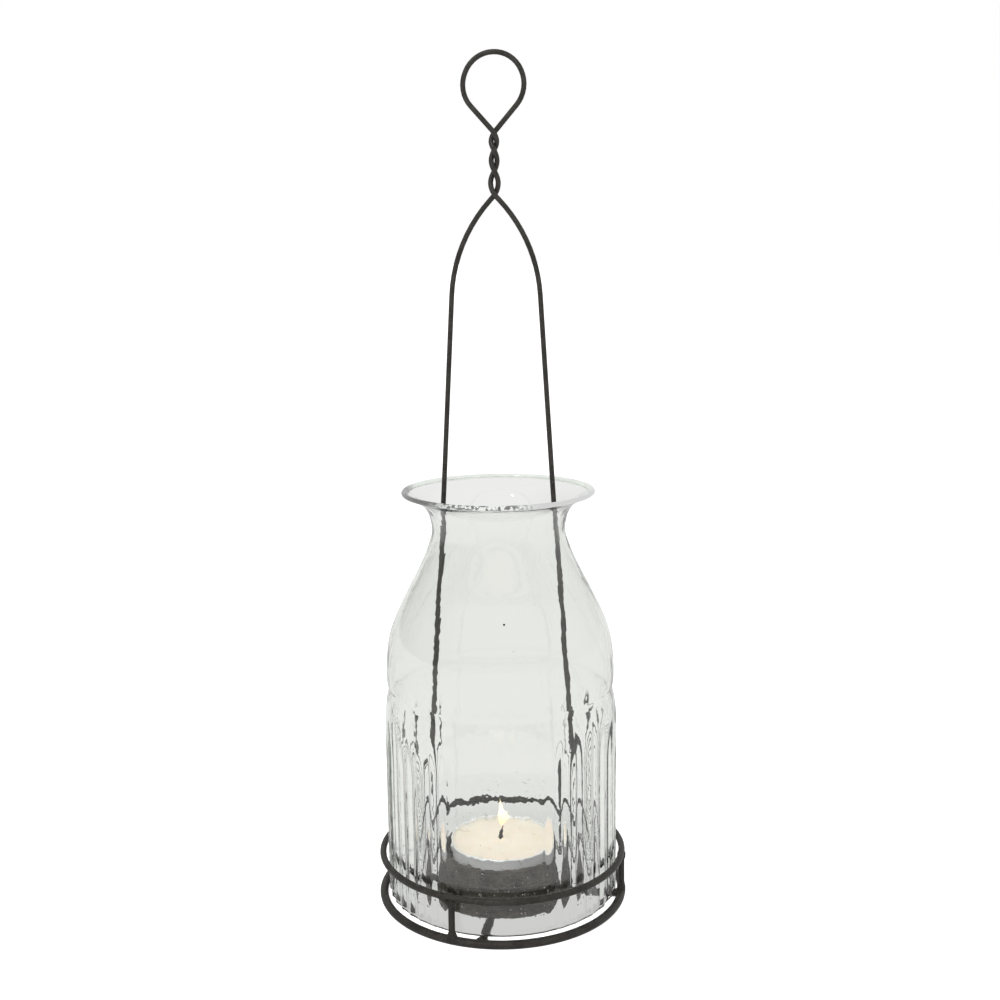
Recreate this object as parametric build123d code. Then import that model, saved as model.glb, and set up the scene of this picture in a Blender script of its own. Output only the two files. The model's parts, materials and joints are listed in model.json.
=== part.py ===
from build123d import *

import os
from math import acos, cos, pi, radians, sin, tan

# Hanging tealight lantern: a bottomless glass chimney standing in a welded wire basket, whose handle
# is one wire that runs up inside the glass and out of its mouth.
# Millimetres, +Z up. The origin is on the floor, under the axis of the basket. The handle lies in the
# XZ plane, the two bars of the floor cross lie on X and Y, and -Y is the front.

# Basket
RING_R = 42.5  # centre line of both rings
LOWER_WIRE_R = 1.45
LOWER_RING_Z = 1.4
UPPER_WIRE_R = 1.15
UPPER_RING_Z = 16.5
BAR_R = 1.35
POST_R = 1.1
POST_FLARE_R = 2.0  # weld metal around both ends of a post
POST_FLARE_H = 2.2
POST_FLARE_ROOT = 0.6  # share of a ring's wire radius, from its middle to the wide end of a flare
POST_ANGLES = {"post_front": -13.6, "post_right": 92.0, "post_back": 225.0}  # degrees, from -Y towards +X
SEAT_CLEARANCE_R = 41.05  # nothing on the rings reaches further in than this

# Plate and candle cup
PLATE_R = 27.2
PLATE_T = 0.9
PLATE_CHAMFER = 0.2
CUP_SHEET = 0.7
CUP_MIDDLE_R = 0.5
CUP_FOOT_R = 20.7
CUP_RIM_R = 21.2
CUP_RIM_Z = 16.9
CUP_CORNER_R = 1.7
CUP_RIM_BEAD_R = 0.6
CUP_BAND_Z = 10.7
CUP_BAND_R = 0.55

# Tealight, of the usual size
TEALIGHT_R = 19.0
TEALIGHT_TOP_Z = 20.1
TEALIGHT_SHEET = 0.4
TEALIGHT_RIM_R = 0.45
WAX_BELOW_RIM = 1.0
WICK_R = 0.65
WICK_ABOVE_WAX = 5.2
SUSTAINER_R = 6.0
SUSTAINER_T = 0.3
SUSTAINER_NECK_R = 1.3
SUSTAINER_NECK_H = 3.0
LIFT_GAP = 0.1  # under a piece that is only set down

# Glass chimney, by the middle of its wall
WALL = 1.7
GLASS_FOOT_Z = 2.85
BODY_R = 39.7
BODY_TOP_Z = 65.4
WAIST = ((38.4, 74.4), (38.1, 76.5), (38.4, 78.6))  # the shallow groove, from its lower edge to its upper
SHOULDER_SIDE = (35.5, 101.2)
SHOULDER_END = (31.6, 109.5)
NECK = (22.1, 131.3)
LIP_ROOT = (26.0, 142.3)
LIP_EDGE = (32.1, 145.5)
FLUTES = 40
FLUTE_CUT_R = 3.4
FLUTE_DEPTH = 0.55
WORN_DEPTH = 0.15  # of the flutes on two opposite faces, where the mould was worn
WORN_AZIMUTH = 10.0  # middle of the worn face at the front, in degrees from -Y towards +X
WORN_HALF_ANGLE = 24.0
FLUTE_TOP_Z = 56.0
FLUTE_TIP_R = 2.4  # the cutter tapers to this above the flute, which fades out before its tip
FLUTE_TIP_H = 13.6

# Handle wire, by its centre line
HANDLE_R = 0.85
FOOT_X = 28.9
NECK_BEND = (18.95, 144.2)
NECK_BEND_R = 510.0
SHOULDER_BEND = (13.85, 229.2)
SHOULDER_BEND_R = 49.3
CROSSINGS_Z = (244.0, 251.8, 258.4, 263.8)  # where the two strands of the twist pass each other
LOBES_HALF_W = (1.36, 1.02, 0.98)  # from the axis to a strand, half way between two crossings
STRAND_Y = 0.98
STEPS_PER_LOBE = 4
LOOP_R = 10.0
LOOP_Z = 278.7
LOOP_CORNERS = 4
ARC_SHARE = 0.49  # of the shorter run beside a corner, taken up by the corner's arc


def ring(wire_r, z):
    """A ring of round wire, lying flat."""
    return Pos(0, 0, z) * Torus(RING_R, wire_r)


def lower_ring():
    """The lower ring, with a narrow flat worn on its underside where it stands."""
    above_floor = Cylinder(2 * RING_R, RING_R, align=(Align.CENTER, Align.CENTER, Align.MIN))
    return ring(LOWER_WIRE_R, LOWER_RING_Z) & above_floor


def upper_ring():
    return ring(UPPER_WIRE_R, UPPER_RING_Z)


def post(angle):
    """A short upright between the rings, flared where it is welded, and ground back clear of the glass."""
    upright = Align.CENTER, Align.CENTER, Align.MIN
    height = UPPER_RING_Z - LOWER_RING_Z
    stem = Cylinder(POST_R, height, align=upright)
    flare = Cone(POST_FLARE_R, POST_R, POST_FLARE_H, align=upright)
    foot = Pos(0, 0, LOWER_WIRE_R * POST_FLARE_ROOT) * flare
    head = Pos(0, 0, height - UPPER_WIRE_R * POST_FLARE_ROOT) * Rot(180, 0, 0) * flare
    place = Rot(0, 0, angle) * Pos(0, -RING_R, LOWER_RING_Z)
    space = Cylinder(2 * RING_R - SEAT_CLEARANCE_R, height, align=upright)
    space -= Cylinder(SEAT_CLEARANCE_R, height, align=upright)
    return place * (stem + foot + head) & Pos(0, 0, LOWER_RING_Z) * space


def floor_bar():
    """The bar of the floor cross that lies along X."""
    return Pos(0, 0, LOWER_RING_Z) * Rot(0, 90, 0) * Cylinder(BAR_R, 2 * RING_R)


def floor_spoke(side):
    """Half of the bar along Y, from the middle of the other bar to the ring; side is -1 or 1."""
    return Pos(0, side * RING_R / 2, LOWER_RING_Z) * Rot(90, 0, 0) * Cylinder(BAR_R, RING_R)


def base_plate():
    plate_z = LOWER_RING_Z + BAR_R
    plate = Cylinder(PLATE_R, PLATE_T, align=(Align.CENTER, Align.CENTER, Align.MIN))
    return Pos(0, 0, plate_z) * chamfer(plate.edges(), PLATE_CHAMFER)


def turned(section):
    """A body of revolution about Z from a section in the XZ plane."""
    return revolve(section, Axis.Z)


def candle_cup():
    """The sheet metal cup, with a rolled rim and a raised band around its middle."""
    floor_z = LOWER_RING_Z + BAR_R + PLATE_T + CUP_SHEET / 2
    start, corner, top = (CUP_MIDDLE_R, floor_z), (CUP_FOOT_R, floor_z), (CUP_RIM_R, CUP_RIM_Z)
    sheet = offset(FilletPolyline(start, corner, top, radius=CUP_CORNER_R), CUP_SHEET / 2, side=Side.BOTH)
    middle = Pos(CUP_MIDDLE_R / 2, floor_z) * Rectangle(CUP_MIDDLE_R, CUP_SHEET)
    rim = Pos(CUP_RIM_R, CUP_RIM_Z) * Circle(CUP_RIM_BEAD_R)
    band = Pos(CUP_RIM_R, CUP_BAND_Z) * Circle(CUP_BAND_R)
    return turned(Plane.XZ * (make_face(sheet.edges()) + middle + rim + band))


def tealight_floor_z():
    return LOWER_RING_Z + BAR_R + PLATE_T + CUP_SHEET + LIFT_GAP


def tealight_cup():
    """The thin aluminium cup that holds the wax."""
    wall_r = TEALIGHT_R - TEALIGHT_RIM_R
    height = TEALIGHT_TOP_Z - tealight_floor_z()
    outside = Pos(wall_r / 2, tealight_floor_z() + height / 2) * Rectangle(wall_r, height)
    inner_r = wall_r - TEALIGHT_SHEET
    inside = Pos(inner_r / 2, tealight_floor_z() + TEALIGHT_SHEET + height / 2) * Rectangle(inner_r, height)
    rim = Pos(wall_r, TEALIGHT_TOP_Z - TEALIGHT_RIM_R) * Circle(TEALIGHT_RIM_R)
    return turned(Plane.XZ * (outside - inside + rim))


def wick_sustainer():
    """The small steel disc with a neck that holds the wick upright."""
    upright = Align.CENTER, Align.CENTER, Align.MIN
    shape = Cylinder(SUSTAINER_R, SUSTAINER_T, align=upright)
    shape += Cylinder(SUSTAINER_NECK_R, SUSTAINER_NECK_H, align=upright)
    shape -= Pos(0, 0, SUSTAINER_T) * Cylinder(WICK_R, SUSTAINER_NECK_H, align=upright)
    return Pos(0, 0, tealight_floor_z() + TEALIGHT_SHEET) * shape


def wick():
    foot_z = tealight_floor_z() + TEALIGHT_SHEET + SUSTAINER_T
    top_z = TEALIGHT_TOP_Z - WAX_BELOW_RIM + WICK_ABOVE_WAX
    return Pos(0, 0, foot_z) * Cylinder(
        WICK_R, top_z - foot_z, align=(Align.CENTER, Align.CENTER, Align.MIN)
    )


def tealight_wax(held):
    """The wax, cast around the pieces in held."""
    inner_r = TEALIGHT_R - TEALIGHT_RIM_R - TEALIGHT_SHEET
    floor_z = tealight_floor_z() + TEALIGHT_SHEET
    height = TEALIGHT_TOP_Z - WAX_BELOW_RIM - floor_z
    wax = Pos(0, 0, floor_z) * Cylinder(inner_r, height, align=(Align.CENTER, Align.CENTER, Align.MIN))
    for piece in held:
        wax -= piece
    return wax


def flute_depth(azimuth):
    """How deep the flute at this azimuth is cut, in degrees from -Y towards +X."""
    worn = abs(cos(radians(azimuth - WORN_AZIMUTH))) > cos(radians(WORN_HALF_ANGLE))
    return WORN_DEPTH if worn else FLUTE_DEPTH


def glass_chimney():
    """The blown glass: one wall of even thickness, open at both ends, with flutes cut around its body."""
    foot = Line((BODY_R, GLASS_FOOT_Z + WALL / 2), (BODY_R, BODY_TOP_Z))
    hip = TangentArc(foot @ 1, WAIST[0], tangent=foot % 1)
    waist = ThreePointArc(*WAIST)
    shoulder = ThreePointArc(waist @ 1, SHOULDER_SIDE, SHOULDER_END)
    slope = TangentArc(shoulder @ 1, NECK, tangent=shoulder % 1)
    throat = TangentArc(slope @ 1, LIP_ROOT, tangent=slope % 1)
    lip = Line(throat @ 1, LIP_EDGE)
    middle = foot + hip + waist + shoulder + slope + throat + lip
    outline = offset(middle, WALL / 2, side=Side.BOTH)
    glass = turned(Plane.XZ * make_face(outline.edges()))
    upright = Align.CENTER, Align.CENTER, Align.MIN
    cutter = Cylinder(FLUTE_CUT_R, FLUTE_TOP_Z, align=upright)
    cutter += Pos(0, 0, FLUTE_TOP_Z) * Cone(FLUTE_CUT_R, FLUTE_TIP_R, FLUTE_TIP_H, align=upright)
    flutes = []
    for i in range(FLUTES):
        azimuth = 360 * i / FLUTES
        reach = BODY_R + WALL / 2 + FLUTE_CUT_R - flute_depth(azimuth)
        flutes.append(Rot(0, 0, azimuth) * Pos(0, -reach, 0) * cutter)
    return glass - flutes


def strand():
    """Corners of one strand of the twist, from its lowest crossing to its highest."""
    corners = []
    for lobe, half_w in enumerate(LOBES_HALF_W):
        low_z, high_z = CROSSINGS_Z[lobe : lobe + 2]
        for step in range(STEPS_PER_LOBE):
            turn = pi * (lobe + step / STEPS_PER_LOBE)
            z = low_z + (high_z - low_z) * step / STEPS_PER_LOBE
            corners.append(Vector(half_w * sin(turn), STRAND_Y * cos(turn), z))
    corners.append(Vector(0, STRAND_Y * cos(pi * len(LOBES_HALF_W)), CROSSINGS_Z[-1]))
    return corners


def loop():
    """Corners around the hanging loop, over the top from the -X side to the +X side."""
    gap = acos(LOOP_R / (LOOP_Z - CROSSINGS_Z[-1]))
    step = 2 * (pi - gap) / LOOP_CORNERS
    corner_r = LOOP_R / cos(step / 2)
    turns = [gap + step * (i + 0.5) for i in range(LOOP_CORNERS)]
    return [Vector(-corner_r * sin(turn), 0, LOOP_Z - corner_r * cos(turn)) for turn in turns]


def arc_radius(before, corner, after):
    """The radius of the largest arc that the shorter run beside a corner has room for."""
    turn = radians((corner - before).get_angle(after - corner))
    shorter = min((corner - before).length, (after - corner).length)
    return ARC_SHARE * shorter / tan(turn / 2)


def handle_wire():
    """One wire: up from the left foot, through the twist, round the loop and down again."""
    leg = [Vector(-FOOT_X, 0, LOWER_RING_Z), Vector(-NECK_BEND[0], 0, NECK_BEND[1])]
    leg.append(Vector(-SHOULDER_BEND[0], 0, SHOULDER_BEND[1]))
    half = leg + strand()
    other_half = [Vector(-point.X, -point.Y, point.Z) for point in reversed(half)]
    points = half + loop() + other_half
    radii = [arc_radius(*points[i - 1 : i + 2]) for i in range(1, len(points) - 1)]
    radii[0] = radii[-1] = NECK_BEND_R
    radii[1] = radii[-2] = SHOULDER_BEND_R
    path = FilletPolyline(*points, radius=radii)
    section = Plane(origin=path @ 0, z_dir=path % 0) * Circle(HANDLE_R)
    print("handle wire", round(path.length, 1), "mm long, smallest bend", round(min(radii), 2), "mm")
    return sweep(section, path=path)


def cut_to_meet(piece, *neighbours):
    """The piece with its ends shaped to lie against its neighbours, as fitted up for welding."""
    for neighbour in neighbours:
        piece -= neighbour
    return piece


def build():
    """Every node of the lantern, by name."""
    nodes = {"lower_ring": lower_ring(), "upper_ring": upper_ring()}
    for name, angle in POST_ANGLES.items():
        nodes[name] = cut_to_meet(post(angle), nodes["lower_ring"], nodes["upper_ring"])
    nodes["floor_bar"] = cut_to_meet(floor_bar(), nodes["lower_ring"], *[nodes[n] for n in POST_ANGLES])
    for name, side in {"spoke_front": -1, "spoke_back": 1}.items():
        nodes[name] = cut_to_meet(floor_spoke(side), nodes["lower_ring"], nodes["floor_bar"])
    nodes["base_plate"] = base_plate()
    nodes["candle_cup"] = candle_cup()
    nodes["handle_wire"] = cut_to_meet(handle_wire(), nodes["floor_bar"])
    nodes["glass_chimney"] = glass_chimney()
    nodes["tealight_cup"] = tealight_cup()
    nodes["wick_sustainer"] = wick_sustainer()
    nodes["wick"] = wick()
    nodes["tealight_wax"] = tealight_wax([nodes["wick_sustainer"], nodes["wick"]])
    return nodes


os.makedirs("parts", exist_ok=True)
for name, shape in build().items():
    shape.label = name
    export_step(shape, f"parts/{name}.step")
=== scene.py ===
import json
import random
from math import cos, pi, radians, sin

import bmesh
import bpy
from mathutils import Matrix, Vector, noise


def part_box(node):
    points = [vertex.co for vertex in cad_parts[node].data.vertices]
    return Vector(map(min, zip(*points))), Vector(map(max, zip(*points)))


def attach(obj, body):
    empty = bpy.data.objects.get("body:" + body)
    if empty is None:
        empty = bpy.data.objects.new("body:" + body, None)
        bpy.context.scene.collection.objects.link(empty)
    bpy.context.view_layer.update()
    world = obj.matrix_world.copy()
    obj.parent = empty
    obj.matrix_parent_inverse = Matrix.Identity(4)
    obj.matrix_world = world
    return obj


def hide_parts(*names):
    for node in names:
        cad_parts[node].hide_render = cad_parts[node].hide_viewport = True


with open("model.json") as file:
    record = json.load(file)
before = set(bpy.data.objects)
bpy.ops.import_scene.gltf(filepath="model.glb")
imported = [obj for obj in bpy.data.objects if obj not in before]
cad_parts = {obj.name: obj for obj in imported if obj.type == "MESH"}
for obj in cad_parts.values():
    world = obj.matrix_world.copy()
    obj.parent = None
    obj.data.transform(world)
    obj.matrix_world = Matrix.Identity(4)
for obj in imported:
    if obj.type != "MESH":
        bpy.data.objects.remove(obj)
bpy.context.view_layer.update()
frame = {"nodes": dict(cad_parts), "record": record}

MM = 0.001
NODES = frame["nodes"]


# ---------------------------------------------------------------- sizes, read from the frame

def node_box(name):
    """Lowest and highest corner of a CAD node, in millimetres."""
    low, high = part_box(name)
    return Vector(low) / MM, Vector(high) / MM


_, lower_high = node_box("lower_ring")
upper_low, upper_high = node_box("upper_ring")
glass_low, _ = node_box("glass_chimney")
foil_low, foil_high = node_box("tealight_cup")
wax_low, wax_high = node_box("tealight_wax")
wick_low, wick_high = node_box("wick")
_, handle_high = node_box("handle_wire")

UPPER_WIRE_R = (upper_high.z - upper_low.z) / 2
UPPER_RING_Z = (upper_high.z + upper_low.z) / 2
RING_R = upper_high.x - UPPER_WIRE_R
LOWER_WIRE_R = lower_high.x - RING_R
LOWER_RING_Z = lower_high.z - LOWER_WIRE_R


# ---------------------------------------------------------------- node helpers

def empty_material(name):
    """A material whose only node is its output."""
    material = bpy.data.materials.new(name)
    material.use_nodes = True
    tree = material.node_tree
    tree.nodes.clear()
    return material, tree, tree.nodes.new("ShaderNodeOutputMaterial")


def new_material(name):
    """A material with only a Principled shader and its output."""
    material, tree, output = empty_material(name)
    shader = tree.nodes.new("ShaderNodeBsdfPrincipled")
    tree.links.new(shader.outputs["BSDF"], output.inputs["Surface"])
    return material, tree, shader, output


def add(tree, kind, **values):
    """A new node. Each value sets an input by its name, or else an attribute."""
    node = tree.nodes.new(kind)
    for key, value in values.items():
        label = key.replace("_", " ")
        if label in node.inputs:
            node.inputs[label].default_value = value
        else:
            setattr(node, key, value)
    return node


def object_coordinates(tree, scale=(1, 1, 1)):
    """Object coordinates, stretched by scale."""
    place = add(tree, "ShaderNodeTexCoord")
    mapping = add(tree, "ShaderNodeMapping", Scale=scale)
    tree.links.new(place.outputs["Object"], mapping.inputs["Vector"])
    return mapping.outputs["Vector"]


def split(tree, vector, *axes):
    """The parts of a vector along these axes."""
    node = add(tree, "ShaderNodeSeparateXYZ")
    tree.links.new(vector, node.inputs["Vector"])
    return [node.outputs[axis] for axis in axes]


def noise_texture(tree, vector, scale, detail, roughness):
    texture = add(tree, "ShaderNodeTexNoise", Scale=scale, Detail=detail, Roughness=roughness)
    tree.links.new(vector, texture.inputs["Vector"])
    return texture.outputs["Fac"]


def ramp(tree, value, stops):
    """A colour ramp through (position, colour) stops."""
    node = tree.nodes.new("ShaderNodeValToRGB")
    elements = node.color_ramp.elements
    while len(elements) < len(stops):
        elements.new(0.5)
    for element, (position, colour) in zip(elements, stops):
        element.position = position
        element.color = (*colour, 1)
    tree.links.new(value, node.inputs["Fac"])
    return node.outputs["Color"]


def remap(tree, value, low, high, new_low, new_high):
    """The value between new_low and new_high that is where the given one is between low and high."""
    node = add(tree, "ShaderNodeMapRange",
               From_Min=low, From_Max=high, To_Min=new_low, To_Max=new_high)
    tree.links.new(value, node.inputs["Value"])
    return node.outputs["Result"]


def product(tree, first, second):
    node = add(tree, "ShaderNodeMath", operation="MULTIPLY")
    tree.links.new(first, node.inputs[0])
    tree.links.new(second, node.inputs[1])
    return node.outputs["Value"]


def bump(tree, height, distance, under=None):
    """The bent normal of a bump of this depth, on top of the bump under it."""
    node = add(tree, "ShaderNodeBump", Strength=1.0, Distance=distance)
    tree.links.new(height, node.inputs["Height"])
    if under is not None:
        tree.links.new(under, node.inputs["Normal"])
    return node.outputs["Normal"]


def mixed(tree, share, first, second, output):
    """Ends a node tree in a mix of two shaders, from first to second as share goes from 0 to 1."""
    mix = add(tree, "ShaderNodeMixShader")
    for socket, source in zip(mix.inputs, (share, first, second)):
        tree.links.new(source, socket)
    tree.links.new(mix.outputs["Shader"], output.inputs["Surface"])


def grey(value):
    return (value, value, value)


# ---------------------------------------------------------------- materials
# Distances in the materials are in metres, as object coordinates are.

def iron_material(name, dark, pale, roughness, grain, relief):
    """Blackened iron: nearly even, with a fine grain and a few worn, paler flecks."""
    material, tree, shader, _ = new_material(name)
    place = object_coordinates(tree)
    clouds = noise_texture(tree, place, 220, 4, 0.6)
    fine = noise_texture(tree, place, grain, 3, 0.65)
    mottle = ramp(tree, product(tree, clouds, fine), [(0.14, dark), (0.36, pale)])
    tree.links.new(mottle, shader.inputs["Base Color"])
    gloss = remap(tree, fine, 0.3, 0.75, roughness - 0.1, roughness + 0.15)
    tree.links.new(gloss, shader.inputs["Roughness"])
    coarse = bump(tree, clouds, 0.00012)
    tree.links.new(bump(tree, fine, relief, under=coarse), shader.inputs["Normal"])
    shader.inputs["Specular IOR Level"].default_value = 0.3
    return material


RIPPLE_LOW = 30.0  # millimetres; the ripple is strongest below this height, and calm above the next
RIPPLE_HIGH = 70.0
RIPPLE_SHARE_HIGH = 0.35
GLASS_TINT = (0.68, 0.753, 0.587)
GLASS_DENSITY = 75


def glass_material():
    """Seeded glass: faintly grey-green through its depth, with a ripple left by the blowing."""
    material, tree, shader, output = new_material("seeded_glass")
    shader.inputs["Base Color"].default_value = (1, 1, 1, 1)
    shader.inputs["Roughness"].default_value = 0.0
    shader.inputs["IOR"].default_value = 1.5
    shader.inputs["Transmission Weight"].default_value = 1.0
    ripple = noise_texture(tree, object_coordinates(tree, (1, 1, 0.8)), 460, 1, 0.5)
    wave = noise_texture(tree, object_coordinates(tree, (1, 1, 0.5)), 180, 1, 0.5)
    height, = split(tree, object_coordinates(tree), "Z")
    calm = remap(tree, height, RIPPLE_LOW * MM, RIPPLE_HIGH * MM, 1.0, RIPPLE_SHARE_HIGH)
    slow = bump(tree, wave, 0.00004)
    waves = bump(tree, product(tree, ripple, calm), 0.00006, under=slow)
    tree.links.new(waves, shader.inputs["Normal"])
    depth = add(tree, "ShaderNodeVolumeAbsorption", Color=(*GLASS_TINT, 1), Density=GLASS_DENSITY)
    tree.links.new(depth.outputs["Volume"], output.inputs["Volume"])
    return material


def blend(tree, share, first, second):
    """A colour from first to second as share goes from 0 to 1."""
    node = add(tree, "ShaderNodeMix", data_type="RGBA")
    tree.links.new(share, node.inputs["Factor"])
    tree.links.new(first, node.inputs[6])
    tree.links.new(second, node.inputs[7])
    return node.outputs[2]


def lip_back_glow(tree, place):
    """The painted glow of the lip's back: pale and nearly even."""
    clouds = noise_texture(tree, place, 200, 2, 0.5)
    return ramp(tree, clouds, [(0.3, (0.70, 0.73, 0.69)), (0.7, (0.80, 0.83, 0.79))])


def lip_material():
    """The lip's core, a painted glow: cells of light at the front, painted shade to their left, and
    an even glow elsewhere.
    """
    material, tree, shader, _ = new_material("lip_core")
    place = object_coordinates(tree)
    across, depth = split(tree, place, "X", "Y")
    # Painted light: the emission colour is a glow of bright and dull cells at the very front.
    cells = ramp(tree, noise_texture(tree, place, 900, 1, 0.5),
                 [(0.42, grey(0.13)), (0.49, grey(0.45)), (0.54, (0.80, 0.83, 0.78))])
    # Painted shade: behind the cells the glow is dull on the left side and brighter on the right.
    even = ramp(tree, remap(tree, across, -0.033, 0.033, 0, 1),
                [(0.0, grey(0.2)), (0.15, grey(0.12)), (0.33, grey(0.16)), (0.42, grey(0.6))])
    middle = remap(tree, depth, -0.0315, -0.027, 1.0, 0.0)
    front = blend(tree, middle, even, cells)
    forward = remap(tree, depth, -0.002, 0.008, 1.0, 0.0)
    shades = blend(tree, forward, lip_back_glow(tree, place), front)
    tree.links.new(shades, shader.inputs["Emission Color"])
    shader.inputs["Emission Strength"].default_value = 1.0
    shader.inputs["Base Color"].default_value = (0.02, 0.02, 0.02, 1)
    shader.inputs["Roughness"].default_value = 0.4
    return material


def aluminium_material():
    material, tree, shader, _ = new_material("aluminium_foil")
    shader.inputs["Metallic"].default_value = 0.3
    place = object_coordinates(tree)
    smudge = noise_texture(tree, place, 300, 3, 0.6)
    shades = ramp(tree, smudge, [(0.3, grey(0.9)), (0.7, grey(0.98))])
    tree.links.new(shades, shader.inputs["Base Color"])
    tree.links.new(remap(tree, smudge, 0.3, 0.7, 0.25, 0.4), shader.inputs["Roughness"])
    tree.links.new(bump(tree, smudge, 0.00006), shader.inputs["Normal"])
    return material


def wax_material():
    """Paraffin wax with a painted glow from within, strongest around the wick, in place of its
    flame's light.
    """
    material, tree, shader, _ = new_material("wax")
    place = object_coordinates(tree)
    cloud = noise_texture(tree, place, 160, 3, 0.55)
    tree.links.new(ramp(tree, cloud, [(0.3, (0.80, 0.705, 0.575)), (0.7, (0.86, 0.785, 0.69))]),
                   shader.inputs["Base Color"])
    shader.inputs["Subsurface Weight"].default_value = 0.6
    shader.inputs["Subsurface Radius"].default_value = (1.0, 0.55, 0.3)
    shader.inputs["Subsurface Scale"].default_value = 0.004
    shader.inputs["Coat Weight"].default_value = 0.25
    tree.links.new(remap(tree, cloud, 0.3, 0.7, 0.25, 0.45), shader.inputs["Roughness"])
    tree.links.new(bump(tree, cloud, 0.0002), shader.inputs["Normal"])
    flat = add(tree, "ShaderNodeCombineXYZ")
    for axis, part in zip("XY", split(tree, place, "X", "Y")):
        tree.links.new(part, flat.inputs[axis])
    radius = add(tree, "ShaderNodeVectorMath", operation="LENGTH")
    tree.links.new(flat.outputs["Vector"], radius.inputs[0])
    # Painted glow: the wax's emission is strongest near the wick and fades towards the foil.
    tree.links.new(remap(tree, radius.outputs["Value"], 0.002, 0.019, 0.14, 0.08),
                   shader.inputs["Emission Strength"])
    shader.inputs["Emission Color"].default_value = (1.0, 0.86, 0.70, 1)
    return material


def wick_material():
    material, tree, shader, _ = new_material("wick_cotton")
    place = object_coordinates(tree)
    braid = noise_texture(tree, place, 1500, 2, 0.6)
    tree.links.new(ramp(tree, braid, [(0.3, grey(0.006)), (0.7, (0.03, 0.022, 0.016))]),
                   shader.inputs["Base Color"])
    tree.links.new(bump(tree, braid, 0.0002), shader.inputs["Normal"])
    shader.inputs["Roughness"].default_value = 0.85
    return material


def steel_material():
    material, tree, shader, _ = new_material("tinned_steel")
    shader.inputs["Metallic"].default_value = 1.0
    place = object_coordinates(tree)
    smudge = noise_texture(tree, place, 500, 3, 0.6)
    shades = ramp(tree, smudge, [(0.3, grey(0.5)), (0.7, grey(0.65))])
    tree.links.new(shades, shader.inputs["Base Color"])
    tree.links.new(remap(tree, smudge, 0.3, 0.7, 0.25, 0.45), shader.inputs["Roughness"])
    return material


def flame_material(low_z, high_z):
    """A candle flame: clear and bluish at its foot, warm white above."""
    material, tree, output = empty_material("flame")
    z, = split(tree, object_coordinates(tree), "Z")
    height = remap(tree, z, low_z * MM, high_z * MM, 0, 1)
    glow = add(tree, "ShaderNodeEmission", Strength=1.7)
    tree.links.new(ramp(tree, height, [(0.0, (0.75, 0.62, 0.55)), (0.25, (1.0, 0.72, 0.36)),
                                       (0.55, (1.0, 0.9, 0.68)), (1.0, (1.0, 0.82, 0.5))]),
                   glow.inputs["Color"])
    clear = add(tree, "ShaderNodeBsdfTransparent")
    solid = ramp(tree, height, [(0.0, grey(0.15)), (0.3, grey(0.85)),
                                (0.8, grey(0.9)), (1.0, grey(0.35))])
    mixed(tree, solid, clear.outputs["BSDF"], glow.outputs["Emission"], output)
    return material


WIRE = iron_material("black_iron_wire", dark=(0.011, 0.010, 0.008), pale=(0.034, 0.031, 0.026),
                     roughness=0.45, grain=1500, relief=0.00005)
SHEET = iron_material("black_iron_sheet", dark=(0.012, 0.010, 0.008), pale=(0.085, 0.074, 0.062),
                      roughness=0.45, grain=1300, relief=0.00022)
GLASS = glass_material()
LIP_GLOW = lip_material()
COTTON = wick_material()
STEEL = steel_material()


# ---------------------------------------------------------------- mesh helpers

def put(name, vertices, faces, material):
    """A new smooth-shaded mesh object from points in millimetres."""
    mesh = bpy.data.meshes.new(name)
    mesh.from_pydata([tuple(MM * c for c in v) for v in vertices], [], faces)
    mesh.validate()
    mesh.update()
    mesh.materials.append(material)
    mesh.polygons.foreach_set("use_smooth", [True] * len(mesh.polygons))
    piece = bpy.data.objects.new(name, mesh)
    bpy.context.scene.collection.objects.link(piece)
    return piece


def around(columns, rows, closed_rows=True):
    """Quads of a grid that closes around the axis, and along the section too if closed_rows."""
    quads = []
    last = rows if closed_rows else rows - 1
    for row in range(last):
        upper = (row + 1) % rows
        for column in range(columns):
            beside = (column + 1) % columns
            quads.append((row * columns + column, row * columns + beside,
                          upper * columns + beside, upper * columns + column))
    return quads


def smooth_line(keys, spacing):
    """Points about spacing apart along a smooth curve through the keys."""
    keys = [Vector(k) for k in keys]
    ends = [2 * keys[0] - keys[1]] + keys + [2 * keys[-1] - keys[-2]]
    points = []
    for before, start, stop, after in zip(ends, ends[1:], ends[2:], ends[3:]):
        steps = max(1, round((stop - start).length / spacing))
        for step in range(steps):
            t = step / steps
            bend = 2 * start + (stop - before) * t
            bend += (2 * before - 5 * start + 4 * stop - after) * t**2
            bend += (3 * start - before - 3 * stop + after) * t**3
            points.append(bend / 2)
    return points + [keys[-1]]


def rippled(point, size, seed):
    """Smooth noise from -1 to 1 with lumps about size millimetres across."""
    return noise.noise(Vector(point) / size + Vector((seed, 2.7 * seed, -seed)))


# ---------------------------------------------------------------- glass chimney

GLASS_WALL = 1.7
LIP_WALL = 0.85  # the wall just under the lip's bead
LIP_THINS_OVER = 26.0  # the length of wall over which it thins towards the lip
BEAD_R = 0.8
CORE_R = 0.6  # the middle of the lip's bead, which glows with painted light
LIP_R = 33.0
LINE_SPACING = 1.6
GLASS_LINE = [  # middle of the wall, from the foot to the lip: radius, height above the foot
    (39.7, 0), (39.7, 13), (39.7, 26), (39.7, 50), (39.7, 62), (39.4, 66.5), (38.85, 70.5),
    (38.45, 72.5), (38.05, 73.7), (38.3, 74.9), (38.6, 76.6), (38.75, 80), (38.5, 85), (37.6, 91.8),
    (35.5, 98.3), (31.6, 106.6), (27.6, 114.3), (24.6, 120.7), (22.8, 125.8), (22.1, 129.0),
    (22.4, 132.6), (23.7, 136.5), (26.0, 139.4), (29.1, 141.1), (32.9, 143.0),
]
FLUTES = 40
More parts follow.
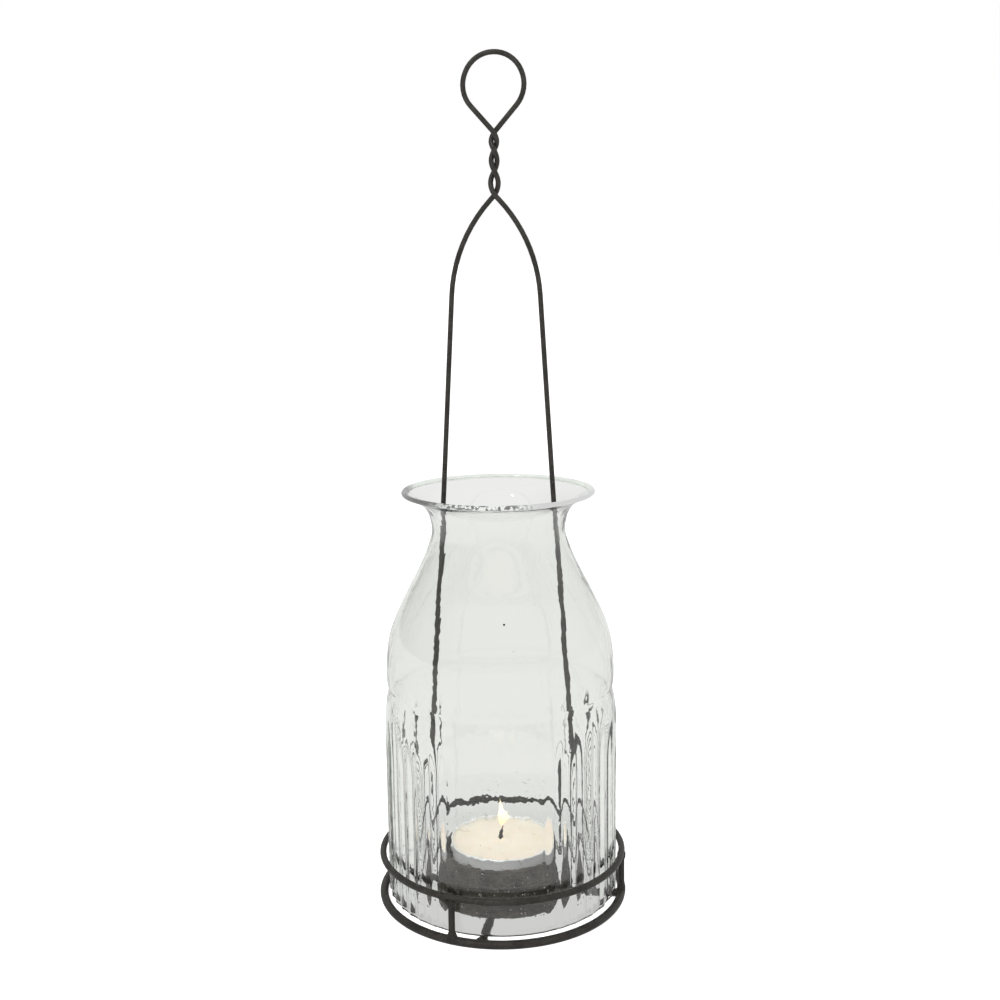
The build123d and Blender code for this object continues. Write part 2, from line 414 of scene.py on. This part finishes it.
COLUMNS_PER_FLUTE = 10
FLUTE_DEPTH = 0.9
FLUTE_TOP = 66.0  # above the foot
FLUTE_FADE = 10.0  # the height over which a flute dies out
WORN_ANGLE = 24.0  # degrees either side of the front and the back, where flutes are nearly gone
WORN_SHARE = 0.07  # of the flutes' depth, left there
FRONT_TURN = 10.0  # degrees from the front to the middle of the worn part
BODY_R = 39.0
WANDER = 0.010  # radians by which the flutes wander sideways
FINE_SWELL, WIDE_SWELL = 0.03, 0.10  # how far lumps 7 and 25 mm across swell each face
LEFT_DEEPER = 1.3  # the left side's flutes were pressed this much deeper
SEEDS = 700
FIRST_SEED_ROW, LAST_LOW_ROW = 8, 20  # rows of the wall's line: seeds start clear of the foot
CLEAR_LIP_ROWS = 22  # rows under the lip without seeds
LOW_SEED_SHARE = 0.85  # most seeds are near the foot, and larger there
LOW_SEED_SIZES = (0.13, 0.17, 0.22, 0.3)
HIGH_SEED_SIZES = (0.08, 0.1, 0.13)
BACK_SEED_SHARE = 0.55  # the seeds in the back half are this much finer


def flute_layout(draw):
    """For each flute: the angle where it starts, its width, its depth and its top."""
    widths = [draw.uniform(0.75, 1.25) for _ in range(FLUTES)]
    scale = 2 * pi / sum(widths)
    angle, layout = 0.0, []
    for width in widths:
        middle = angle + width * scale / 2
        away = abs(sin(middle - radians(FRONT_TURN)))  # 1 at the front and the back
        worn = away > cos(radians(WORN_ANGLE))
        left = LEFT_DEEPER if cos(angle) < 0 else 1.0
        share = WORN_SHARE if worn else 1.0 - 0.45 * away
        depth = FLUTE_DEPTH * left * share * draw.uniform(0.75, 1.15)
        top = FLUTE_TOP + draw.uniform(-7, 3)
        layout.append((angle, width * scale, depth, top))
        angle += width * scale
    return layout


def wall_half(from_foot, from_lip):
    """Half the wall's thickness at these distances from its rounded foot and its beaded lip."""
    t = min(1.0, from_foot / (GLASS_WALL / 2))
    foot = GLASS_WALL / 2 * (t * (2 - t)) ** 0.5
    thin = LIP_WALL / 2 + (GLASS_WALL - LIP_WALL) / 2 * min(1.0, from_lip / LIP_THINS_OVER)
    off = from_lip - BEAD_R
    bead = max(0.0, BEAD_R**2 - off**2) ** 0.5
    neck = thin if off > 0 else 0.0
    return min(foot, max(bead, neck))


def wall_surface(line, side, layout, fluted):
    """Rows of points on one face of the wall; side is 1 outside and -1 inside."""
    rows = []
    last = len(line) - 1
    run = [0.0]
    for a, b in zip(line, line[1:]):
        run.append(run[-1] + (b - a).length)
    for i, middle in enumerate(line):
        along = (line[min(i + 1, last)] - line[max(i - 1, 0)]).normalized()
        normal = Vector((along.y, -along.x)) * side
        half = wall_half(run[i], run[-1] - run[i])
        firm = min(1.0, half / (GLASS_WALL / 2))
        row = []
        for start, width, depth, top in layout:
            fade = min(1.0, max(0.0, (top - middle.y) / FLUTE_FADE)) * fluted
            for column in range(COLUMNS_PER_FLUTE):
                t = column / COLUMNS_PER_FLUTE
                turn = start + width * t
                spot = Vector((BODY_R * cos(turn), BODY_R * sin(turn), middle.y))
                turn += WANDER * rippled(spot, 20, 3)
                scoop = depth * sin(pi * t) ** 1.2 * fade**0.8
                swell = FINE_SWELL * rippled(spot, 7, 5 * side)
                swell += WIDE_SWELL * rippled(spot, 25, 9 * side)
                out = half + (swell - scoop) * firm
                r = middle.x + normal.x * out
                row.append((r * cos(turn), r * sin(turn), glass_low.z + middle.y + normal.y * out))
        rows.append(row)
    return rows


FOOT_STEPS = (0.06, 0.25, 0.55, 0.95)  # distances from each end where the wall's rounding is cut
LIP_STEPS = (0.04, 0.13, 0.28, 0.48, 0.75, 1.05, 1.25, 1.4, 1.52)


def wall_line():
    """The middle of the wall, closely spaced where its ends are rounded."""
    line = smooth_line([Vector((*p, 0)) for p in GLASS_LINE], LINE_SPACING)
    line = [Vector((p.x, p.y)) for p in line]
    for end, beside in ((0, 1), (-1, -2)):
        tip, inner = line[end], line[beside]
        steps = FOOT_STEPS if end == 0 else LIP_STEPS
        extra = [tip + (inner - tip).normalized() * step for step in steps]
        kept = [p for p in line if (p - tip).length > steps[-1] + 0.4]
        line = [tip] + extra + kept if end == 0 else kept + extra[::-1] + [tip]
    return line


def seed_points(draw, line):
    """Centre, size and stretch of each bubble inside the wall."""
    spots = []
    for _ in range(SEEDS):
        low = draw.random() < LOW_SEED_SHARE
        last = LAST_LOW_ROW if low else len(line) - CLEAR_LIP_ROWS
        middle = line[draw.randrange(FIRST_SEED_ROW, last)]
        turn = draw.uniform(0, 2 * pi)
        size = draw.choice(LOW_SEED_SIZES if low else HIGH_SEED_SIZES)
        if turn < pi:
            size *= BACK_SEED_SHARE
        r = middle.x + draw.uniform(-0.35, -0.05)
        centre = Vector((r * cos(turn), r * sin(turn), glass_low.z + middle.y))
        spots.append((centre, size, draw.uniform(1, 1.7)))
    return spots


def polar(azimuth, r, z):
    """A point at this radius and height, at an azimuth in degrees from the front towards +X."""
    a = radians(azimuth)
    return Vector((r * sin(a), -r * cos(a), z))


EYE_AZIMUTH = 44.6  # one larger bubble at the top of the flutes
EYE_R = 39.6
EYE_Z = 64.6
EYE_SIZE = 0.55
EYE_STRETCH = 1.6
SPECK_AZIMUTH = 12.5  # a black grain of ash in the shoulder
SPECK_R = 31.8
SPECK_Z = 107.1
SPECK_SIZE = 0.36


def ball(detail):
    """Vertices and faces of a round ball of radius 1."""
    mesh = bmesh.new()
    bmesh.ops.create_icosphere(mesh, subdivisions=detail, radius=1)
    points = [v.co.copy() for v in mesh.verts]
    faces = [tuple(v.index for v in f.verts) for f in mesh.faces]
    mesh.free()
    return points, faces


def blown_glass():
    """The chimney: one closed wall with its flutes, ripples and seeds."""
    draw = random.Random(11)
    layout = flute_layout(draw)
    line = wall_line()
    rows = wall_surface(line, 1, layout, 1.0) + wall_surface(line, -1, layout, 0.0)[::-1]
    columns = FLUTES * COLUMNS_PER_FLUTE
    vertices = [point for row in rows for point in row]
    faces = around(columns, len(rows))
    seeds = [(*seed, 1) for seed in seed_points(draw, line)]
    seeds.append((polar(EYE_AZIMUTH, EYE_R, EYE_Z), EYE_SIZE, EYE_STRETCH, 3))
    for centre, size, stretch, detail in seeds:
        points, facets = ball(detail)
        first = len(vertices)
        vertices += [(centre.x + size * p.x, centre.y + size * p.y, centre.z + size * stretch * p.z)
                     for p in points]
        faces += [tuple(first + i for i in reversed(f)) for f in facets]
    piece = put("blown_chimney", vertices, faces, GLASS)
    piece.visible_shadow = False
    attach(piece, "glass")
    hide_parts("glass_chimney")


def ash_speck():
    """The black grain, a lump caught inside the wall."""
    points, facets = ball(3)
    centre = polar(SPECK_AZIMUTH, SPECK_R, SPECK_Z)
    vertices = [centre + SPECK_SIZE * p * (1 + 0.35 * rippled(p, 0.8, 4)) for p in points]
    piece = put("ash_speck", vertices, facets, COTTON)  # as black as the charred wick
    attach(piece, "glass")


def lip_core():
    """The middle of the lip's bead: a core that glows with painted light, in bright and dull cells,
    in place of the light the wall carries to its lip.
    """
    tip, inner = Vector(GLASS_LINE[-1]), Vector(GLASS_LINE[-2])
    middle = tip + (inner - tip).normalized() * BEAD_R
    columns, sides = 360, 10
    vertices = []
    for side in range(sides):
        roll = 2 * pi * side / sides
        for column in range(columns):
            turn = 2 * pi * column / columns
            spot = Vector((LIP_R * cos(turn), LIP_R * sin(turn), 3 * cos(roll)))
            thick = CORE_R * (1 + 0.3 * rippled(spot, 1.6, 8))
            r = middle.x + thick * cos(roll)
            z = glass_low.z + middle.y + thick * sin(roll)
            vertices.append((r * cos(turn), r * sin(turn), z))
    piece = put("lip_core", vertices, around(columns, sides), LIP_GLOW)
    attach(piece, "glass")


# ---------------------------------------------------------------- tealight

FOIL = aluminium_material()
WAX = wax_material()
FOIL_R = foil_high.x
WAX_R = wax_high.x
TURNS = 144


def unshifted(turn, r, z):
    return 0.0, 0.0


def lathe(name, profile, material, wobble=unshifted):
    """A turned piece from (radius, z) points; wobble(turn, r, z) shifts each in radius and z."""
    vertices = []
    for r, z in profile:
        for column in range(TURNS):
            turn = 2 * pi * column / TURNS
            dr, dz = wobble(turn, r, z)
            vertices.append(((r + dr) * cos(turn), (r + dr) * sin(turn), z + dz))
    return put(name, vertices, around(TURNS, len(profile), False), material)


def foil_cup():
    """The tealight's drawn aluminium cup: a thin wall, faint draw marks and a rolled rim."""
    low, top = foil_low.z, foil_high.z
    outer, thin, roll = FOIL_R - 0.4, 0.3, 0.42
    profile = [(0.01, low + 0.5), (13.0, low + 0.5), (13.6, low), (outer - 1.6, low)]
    profile += [(outer - 0.5, low + 0.4), (outer, low + 1.6), (outer, low + 6), (outer, low + 12)]
    profile.append((outer, top - 2 * roll))
    for step in range(9):
        turn = radians(-60 + 32 * step)
        profile.append((outer - thin / 2 + roll * cos(turn), top - roll + roll * sin(turn)))
    profile += [(outer - thin, top - 2 * roll), (outer - thin, low + 12), (outer - thin, low + 1.8)]
    profile += [(outer - 1.8, low + thin + 0.4), (0.01, low + 0.5 + thin)]

    def drawn(turn, r, z):
        wall = 1.0 if r > outer - 1 else 0.0
        marks = 0.05 * wall * sin(36 * turn + 1.5 * sin(3 * turn))
        return marks + 0.08 * wall * sin(3 * turn + 1), 0.0

    piece = lathe("foil_cup", profile, FOIL, drawn)
    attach(piece, "tealight")
    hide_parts("tealight_cup")


def wax_pool():
    """The wax: a shallow melted pool that climbs the foil at its edge, and the wick."""
    low, top = wax_low.z + 0.9, wax_high.z
    profile = [(0.01, low), (WAX_R - 2.2, low), (WAX_R - 0.5, low + 1.2), (WAX_R - 0.1, low + 3)]
    profile += [(WAX_R - 0.1, top), (WAX_R - 0.15, top + 0.45), (WAX_R - 0.5, top + 0.3)]
    profile.append((WAX_R - 1.1, top + 0.05))
    profile += [(r, top - 0.25 - 0.2 * cos(pi * r / WAX_R)) for r in (16, 14, 12, 10, 8, 6, 4, 2.6)]
    profile += [(1.7, top - 0.2), (1.1, top + 0.15), (0.6, top + 0.5)]

    def settled(turn, r, z):
        spot = (r * cos(turn), r * sin(turn), z)
        free = 1.0 if z > top - 1 and r < WAX_R - 0.6 else 0.0
        return 0.0, 0.12 * free * rippled(spot, 5, 2)

    piece = lathe("wax_pool", profile, WAX, settled)
    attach(piece, "tealight")
    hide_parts("tealight_wax")


def tube(line, radii, sides):
    """Vertices and faces of a tube along a line of points, with a radius at each."""
    vertices = []
    for i, (point, radius) in enumerate(zip(line, radii)):
        along = (line[min(i + 1, len(line) - 1)] - line[max(i - 1, 0)]).normalized()
        side = along.cross(Vector((0, 1, 0.02))).normalized()
        other = along.cross(side)
        for k in range(sides):
            turn = 2 * pi * k / sides
            vertices.append(point + radius * (side * cos(turn) + other * sin(turn)))
    faces = around(sides, len(line), False)
    faces.append(tuple(reversed(range(sides))))
    faces.append(tuple(range(len(vertices) - sides, len(vertices))))
    return vertices, faces


def charred_wick():
    """The burnt wick: braided, a little bent and thinner towards its tip."""
    foot, tip = wick_low.z, wick_high.z
    keys = [(0, 0, foot), (0, 0, tip - 7), (0.1, 0, tip - 3.5),
            (0.35, 0.05, tip - 1.2), (0.75, 0.1, tip)]
    line = smooth_line(keys, 0.25)
    radii = [0.62 + 0.1 * sin(3.2 * p.z) - 0.22 * max(0.0, (p.z - tip + 3) / 3) for p in line]
    piece = put("charred_wick", *tube(line, radii, 14), COTTON)
    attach(piece, "tealight")
    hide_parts("wick")


FLAME_H = 11.5
FLAME_R = 1.5
FLAME_SHARES = (0.05, 0.45, 0.72, 0.9, 1.0, 0.98, 0.88, 0.72, 0.52, 0.3, 0.12, 0.02)


def flame():
    """The flame: a drop that stands on the wick's tip."""
    low = wick_high.z - 0.9
    last = len(FLAME_SHARES) - 1
    keys = [(FLAME_R * share, low + FLAME_H * i / last, 0) for i, share in enumerate(FLAME_SHARES)]
    profile = [(p.x, p.y) for p in smooth_line(keys, 0.5)]
    piece = lathe("flame", profile, flame_material(low, low + FLAME_H))
    piece.visible_shadow = False
    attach(piece, "tealight")


# ---------------------------------------------------------------- weld metal

HANDLE_WIRE_R = 0.85
WELD_VOXEL = 0.24
GLASS_CLEAR_R = 41.05  # weld metal stays outside this radius where the glass comes down
WELD_RIPPLE = 0.00006  # this and the next two are in metres
FLOOR_GAP = 0.0001  # weld metal stays this far above the floor
LEG_WELDS_R = 0.035  # the handle's feet are inside this radius
POSTS = ((-13.6, -1), (92.0, 1), (225.0, 1))  # front, right, back: azimuth, and the web's side


def weld_run(start, stop, first_r, last_r, count=5):
    """A run of weld metal: ball centres and sizes between two points."""
    start, stop = Vector(start), Vector(stop)
    last = count - 1
    return [(start.lerp(stop, i / last), first_r + (last_r - first_r) * i / last)
            for i in range(count)]


def post_welds(azimuth, web):
    """Weld metal at both ends of an upright; web is the side, -1 or 1, where more of it hangs."""
    foot, head = LOWER_RING_Z, UPPER_RING_Z
    runs = [  # from and to, as along the ring, height, outward; both sizes; the number of balls
        ((0, head - 1.0, 0.35), (0, head - 2.5, 0.25), 1.15, 1.0),
        ((web * 5.2, head - 0.35, 0.3), (web * 1.5, head - 1.5, 0.35), 0.62, 0.95, 7),
        ((web * 1.3, head - 1.6, 0.35), (web * 0.35, head - 3.7, 0.25), 0.85, 0.78),
        ((-web * 1.7, head - 0.6, 0.3), (-web * 0.35, head - 1.7, 0.35), 0.6, 0.85),
        ((-2.2, foot + 0.95, 0.3), (0, foot + 1.9, 0.35), 0.65, 0.95),
        ((2.0, foot + 0.95, 0.3), (0, foot + 1.9, 0.35), 0.65, 0.95),
        ((0, foot + 1.7, 0.35), (0, foot + 2.9, 0.25), 1.05, 0.95),
    ]

    def at(along, z, out):
        turn = azimuth + along * 180 / (pi * RING_R)
        return polar(turn, RING_R + out, z)

    beads = []
    for start, stop, *sizes in runs:
        beads += weld_run(at(*start), at(*stop), *sizes)
    return beads


def bar_end_welds(azimuth):
    """Weld metal where a bar of the floor cross meets the lower ring."""
    out = polar(azimuth, 1, 0)
    across = Vector((-out.y, out.x, 0))
    beads = []
    for side in (-1, 1):
        near = out * (RING_R - 1.0) + across * side * 2.1 + Vector((0, 0, LOWER_RING_Z + 0.2))
        far = out * (RING_R - 3.4) + across * side * 0.95 + Vector((0, 0, LOWER_RING_Z + 0.15))
        beads += weld_run(near, far, 0.72, 0.64)
    return beads


def leg_foot_welds(side):
    """Weld metal around a foot of the handle, on the bar."""
    x = side * (handle_high.x - HANDLE_WIRE_R)
    beads = []
    for y in (-0.75, 0.75):
        beads += weld_run((x - 1.6, y, 2.0), (x + 1.6, y, 2.0), 0.72, 0.76)
    beads += weld_run((x, 0, 2.55), (x * 0.997, 0, 3.9), 1.1, 0.92)
    return beads


def weld_metal():
    """The basket's weld metal: its beads blended into one skin, and kept clear of the glass."""
    beads = []
    for azimuth, web in POSTS:
        beads += post_welds(azimuth, web)
    for azimuth in (0, 90, 180, 270):
        beads += bar_end_welds(azimuth)
    for side in (-1, 1):
        beads += leg_foot_welds(side)
    points, facets = ball(2)
    vertices, faces = [], []
    for centre, size in beads:
        first = len(vertices)
        vertices += [centre + size * p for p in points]
        faces += [tuple(first + i for i in f) for f in facets]
    piece = put("weld_metal", vertices, faces, WIRE)
    remesh = piece.modifiers.new("blend", "REMESH")
    remesh.mode = "VOXEL"
    remesh.voxel_size = WELD_VOXEL * MM
    remesh.use_smooth_shade = True
    soften = piece.modifiers.new("soften", "SMOOTH")
    soften.iterations = 6
    bpy.context.view_layer.update()
    depsgraph = bpy.context.evaluated_depsgraph_get()
    mesh = bpy.data.meshes.new_from_object(piece.evaluated_get(depsgraph))
    piece.modifiers.clear()
    piece.data = mesh
    clear_r, clear_z = GLASS_CLEAR_R * MM, glass_low.z * MM
    for v in mesh.vertices:
        r = v.co.to_2d().length
        v.co += v.co.normalized() * WELD_RIPPLE * rippled(v.co / MM, 0.8, 6)
        v.co.z = max(v.co.z, FLOOR_GAP)
        if v.co.z > clear_z - FLOOR_GAP and clear_r > r > LEG_WELDS_R:
            v.co *= Vector((clear_r / r, clear_r / r, 1))
    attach(piece, "basket")


# ---------------------------------------------------------------- camera, light and floor

CLEAR_DEPTH = 6.0  # surfaces that a straight look through both walls crosses
LOST_DEPTH = 10.0  # light that has crossed or bounced off this many is mostly lost, painted as a darker glow of the stage
LOST_LIGHT = 0.06
PAPER_LIGHT = 0.88
WALL_LIGHT = 0.76
LEFT_SHARE = 0.45  # how light the room is to the left of the lantern
LEFT_EDGE, LEFT_END = -1.0, -0.45  # the part of the room that counts as left, as directions along X
SHADE = 0.72  # the light left on the paper under the lantern, by a painted shadow in its glow
SHADE_R = 40.0
SHADE_END_R = 85.0
FLOOR_GLOW = 0.75
FLOOR_HALF = 60.0  # metres


def through_light(tree):
    """The light path, and a painted shade: how much of the stage's glow is left after the ray's
    bounces in the glass.
    """
    path = add(tree, "ShaderNodeLightPath")
    return path, remap(tree, path.outputs["Ray Depth"], CLEAR_DEPTH, LOST_DEPTH, 1.0, LOST_LIGHT)


def floor_material():
    """White paper, evenly lit, that takes real soft shadows; seen through the glass it is a glow,
    with a painted shadow under the lantern.
    """
    material, tree, output = empty_material("floor_paper")
    paper = add(tree, "ShaderNodeBsdfDiffuse", Color=(0.85, 0.85, 0.85, 1))
    shine = add(tree, "ShaderNodeEmission", Strength=FLOOR_GLOW)
    seen = add(tree, "ShaderNodeAddShader")
    tree.links.new(paper.outputs["BSDF"], seen.inputs[0])
    tree.links.new(shine.outputs["Emission"], seen.inputs[1])
    through = add(tree, "ShaderNodeEmission", Color=(PAPER_LIGHT, PAPER_LIGHT, PAPER_LIGHT, 1))
    path, light = through_light(tree)
    away = add(tree, "ShaderNodeVectorMath", operation="LENGTH")
    tree.links.new(object_coordinates(tree), away.inputs[0])
    # Painted shadow: the glow seen through the glass is darker under the lantern.
    painted_shadow_share = remap(tree, away.outputs["Value"], SHADE_R * MM, SHADE_END_R * MM, SHADE, 1.0)
    tree.links.new(product(tree, light, painted_shadow_share), through.inputs["Strength"])
    by_eye = path.outputs["Is Camera Ray"]
    mixed(tree, by_eye, through.outputs["Emission"], seen.outputs["Shader"], output)
    return material


def stage():
    """The floor and the room around it."""
    mesh = bpy.data.meshes.new("floor")
    corners = [(x * FLOOR_HALF, y * FLOOR_HALF, 0) for x, y in ((-1, -1), (1, -1), (1, 1), (-1, 1))]
    mesh.from_pydata(corners, [], [(0, 1, 2, 3)])
    mesh.materials.append(floor_material())
    floor = bpy.data.objects.new("floor", mesh)
    bpy.context.scene.collection.objects.link(floor)
    world = bpy.data.worlds.new("studio")
    bpy.context.scene.world = world
    world.use_nodes = True
    tree = world.node_tree
    tree.nodes.clear()
    output = tree.nodes.new("ShaderNodeOutputWorld")
    seen = add(tree, "ShaderNodeBackground", Strength=1.0, Color=(1, 1, 1, 1))
    through = add(tree, "ShaderNodeBackground", Color=(WALL_LIGHT, WALL_LIGHT, WALL_LIGHT, 1))
    path, light = through_light(tree)
    direction = add(tree, "ShaderNodeTexCoord")
    across, = split(tree, direction.outputs["Generated"], "X")
    left = remap(tree, across, LEFT_EDGE, LEFT_END, LEFT_SHARE, 1.0)
    tree.links.new(product(tree, light, left), through.inputs["Strength"])
    by_eye = path.outputs["Is Camera Ray"]
    mixed(tree, by_eye, through.outputs["Background"], seen.outputs["Background"], output)


def softbox(name, azimuth, elevation, distance, size, power, mirrored):
    """An area lamp that faces the middle of the lantern, in degrees, metres and watts.

    mirrored says whether gloss and glass show it.
    """
    data = bpy.data.lights.new(name, "AREA")
    data.shape = "RECTANGLE"
    data.size, data.size_y = size
    data.energy = power
    lamp = bpy.data.objects.new(name, data)
    a, e = radians(azimuth), radians(elevation)
    away = Vector((sin(a) * cos(e), -cos(a) * cos(e), sin(e)))
    lamp.location = Vector((0, 0, 0.15)) + away * distance
    lamp.rotation_mode = "QUATERNION"
    lamp.rotation_quaternion = away.to_track_quat("Z", "Y")
    lamp.visible_camera = False
    lamp.visible_glossy = mirrored
    lamp.visible_transmission = mirrored
    bpy.context.scene.collection.objects.link(lamp)


CAMERA_AZIMUTH = 10.0
CAMERA_DISTANCE = 442.1  # level distance from the lantern's axis
CAMERA_HEIGHT = 223.3
CAMERA_PITCH = 10.38  # degrees below level
CAMERA_ROLL = 0.68
CAMERA_SIDE = 0.6  # how far the camera stands to the right of that azimuth
CAMERA_LENS = 47.43


def camera():
    data = bpy.data.cameras.new("camera")
    data.sensor_width = 36
    data.lens = CAMERA_LENS
    view = bpy.data.objects.new("camera", data)
    a, pitch = radians(CAMERA_AZIMUTH), radians(CAMERA_PITCH)
    back = Vector((sin(a), -cos(a), 0)) * CAMERA_DISTANCE
    side = Vector((cos(a), sin(a), 0)) * CAMERA_SIDE
    view.location = (back + side + Vector((0, 0, CAMERA_HEIGHT))) * MM
    look = Vector((-sin(a) * cos(pitch), cos(a) * cos(pitch), -sin(pitch)))
    view.rotation_mode = "QUATERNION"
    turn = look.to_track_quat("-Z", "Y")
    view.rotation_quaternion = turn @ Matrix.Rotation(-radians(CAMERA_ROLL), 3, "Z").to_quaternion()
    bpy.context.scene.collection.objects.link(view)
    bpy.context.scene.camera = view


camera()
stage()
softbox("key", -30, 28, 0.95, (0.7, 0.7), 5, mirrored=False)
softbox("side", 75, 25, 0.95, (0.4, 0.8), 2, mirrored=False)
softbox("spark", -20, 48, 0.9, (0.07, 0.07), 1.2, mirrored=True)
bpy.context.scene.view_settings.view_transform = "Standard"

blown_glass()
lip_core()
ash_speck()
foil_cup()
wax_pool()
charred_wick()
flame()
weld_metal()
FINISHES = {"black_iron_wire": WIRE, "black_iron_sheet": SHEET, "aluminium_foil": FOIL, "wax": WAX,
            "wick_cotton": COTTON, "tinned_steel": STEEL}
for part in frame["record"]["subparts"]:
    node = NODES[part["node"]]
    if part["material_slot"] in FINISHES:
        for slot in node.material_slots:
            slot.material = FINISHES[part["material_slot"]]
